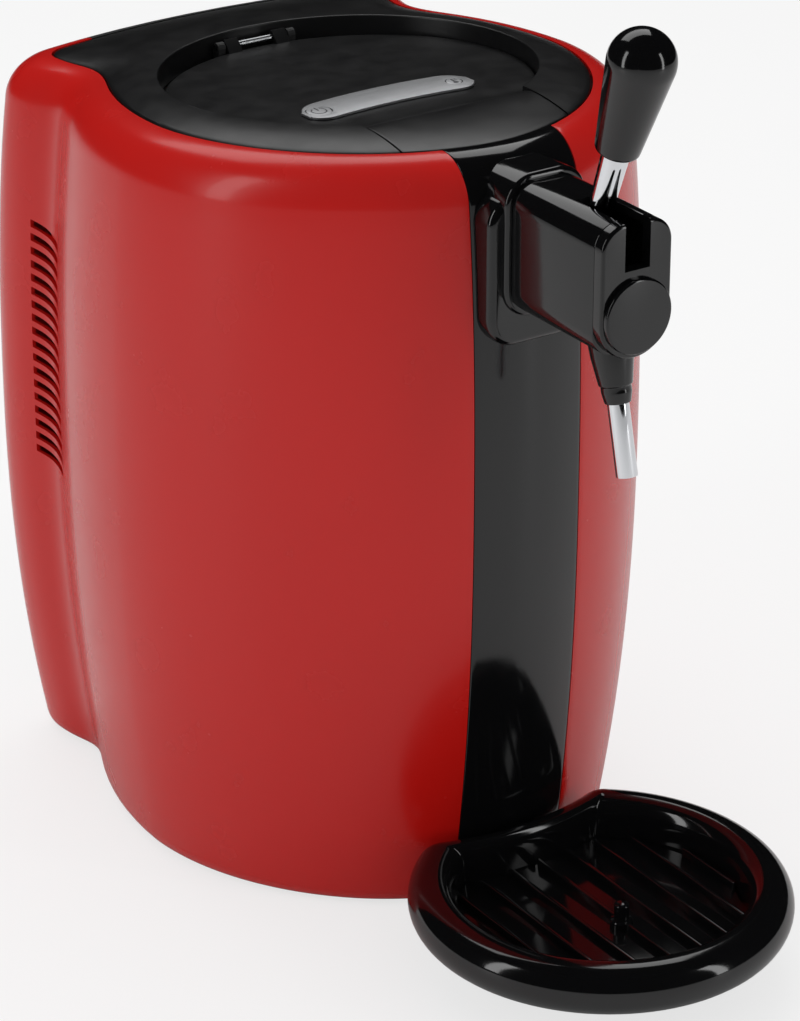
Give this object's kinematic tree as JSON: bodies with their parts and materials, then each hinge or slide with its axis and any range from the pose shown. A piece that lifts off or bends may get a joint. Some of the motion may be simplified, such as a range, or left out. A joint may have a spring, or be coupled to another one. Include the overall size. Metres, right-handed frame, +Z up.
{
  "type": "mini keg beer dispenser",
  "caption": "Cooled barrel shaped cabinet for a 5 litre mini keg, with hinged top lid, front pinch tap with lever and spout, and a pull-off drip tray.",
  "frame": {"origin": "centre of the footprint, on the table plane under the feet", "axes": "+Z up; the tap, the lever and the drip tray face -Y; +X is to the right of someone who stands behind the cabinet's front looking along +Y"},
  "size_m": [0.276, 0.4756, 0.4668],
  "materials": {
    "red_gloss": "high gloss",
    "black_gloss": "high gloss",
    "black_satin": "satin",
    "black_matte": "matte",
    "brushed_silver": "brushed",
    "symbol_grey": "satin",
    "chrome": "polished",
    "steel": "plain",
    "aluminium": "mill",
    "rubber": "matte",
    "foam": "foamed",
    "liner_grey": "smooth",
    "ceramic": "matte",
    "board_green": "lacquered"
  },
  "bodies": {
    "cabinet": {"housing_right": "red_gloss", "housing_left": "red_gloss", "base_plate": "black_matte", "foot_front_left": "rubber", "foot_front_right": "rubber", "foot_rear_left": "rubber", "foot_rear_right": "rubber", "keg_chamber_liner": "liner_grey", "chamber_insulation": "foam", "cold_plate": "aluminium", "thermoelectric_module": "ceramic", "heat_sink": "aluminium", "fan_frame": "black_matte", "rear_cover": "black_matte", "power_inlet": "black_matte", "power_supply_board": "board_green", "front_column": "black_gloss", "tap_surround": "black_gloss", "tap_arm": "black_gloss", "tap_cover": "black_gloss", "lever_pivot_pin": "steel", "spout_holder": "black_gloss", "spout_tube": "chrome", "pinch_spring": "steel", "deck_ring": "black_satin", "lid_hinge_pin": "steel", "lid_hinge_bracket": "steel", "base_screw_front_left": "steel", "base_screw_front_right": "steel", "base_screw_rear_left": "steel", "base_screw_rear_right": "steel", "cover_screw_low_left": "steel", "cover_screw_low_right": "steel", "cover_screw_high_left": "steel", "cover_screw_high_right": "steel"},
    "lid": {"lid_panel": "black_satin", "lid_plug": "liner_grey", "lid_foam": "foam", "lid_seal": "rubber", "badge_plate": "brushed_silver", "control_board": "board_green", "indicator_lens": "symbol_grey", "button_spring": "steel"},
    "button": {"power_button": "brushed_silver"},
    "lever": {"lever_hub": "black_matte", "lever_stem": "chrome", "lever_knob": "black_gloss"},
    "pinch": {"pinch_bar": "black_matte"},
    "tray": {"drip_tray": "black_gloss"},
    "insert": {"tray_insert": "black_gloss"},
    "fan": {"fan_impeller": "black_matte"}
  },
  "joints": [
    {"name": "lid_hinge", "type": "hinge", "parent": "cabinet", "child": "lid", "pos_m": [0, 0.1533, 0.37261], "axis": [-1, 0, 0], "range_deg": [0, 80]},
    {"name": "button_press", "type": "slide", "parent": "lid", "child": "button", "axis": [0, 0, -1], "range_m": [0, 0.0006], "stiffness_N_per_m": 400, "springref_m": -0.0015, "deforming": ["button_spring"]},
    {"name": "lever_pull", "type": "hinge", "parent": "cabinet", "child": "lever", "pos_m": [0, -0.1242, 0.35], "axis": [1, 0, 0], "range_deg": [0, 45]},
    {"name": "pinch_release", "type": "slide", "parent": "cabinet", "child": "pinch", "axis": [0, 1, 0], "range_m": [0, 0.0062]},
    {"name": "tray_pull", "type": "slide", "parent": "cabinet", "child": "tray", "axis": [0, -1, 0], "range_m": [0, 0.1]},
    {"name": "insert_lift", "type": "slide", "parent": "tray", "child": "insert", "axis": [0, 0, 1], "range_m": [0, 0.04]},
    {"name": "fan_spin", "type": "hinge", "parent": "cabinet", "child": "fan", "pos_m": [0, 0.2098, 0.205], "axis": [0, 1, 0], "continuous": true}
  ],
  "couplings": [
    {"joint": "pinch_release", "follows": "lever_pull", "m_per_rad": 0.0078}
  ]
}
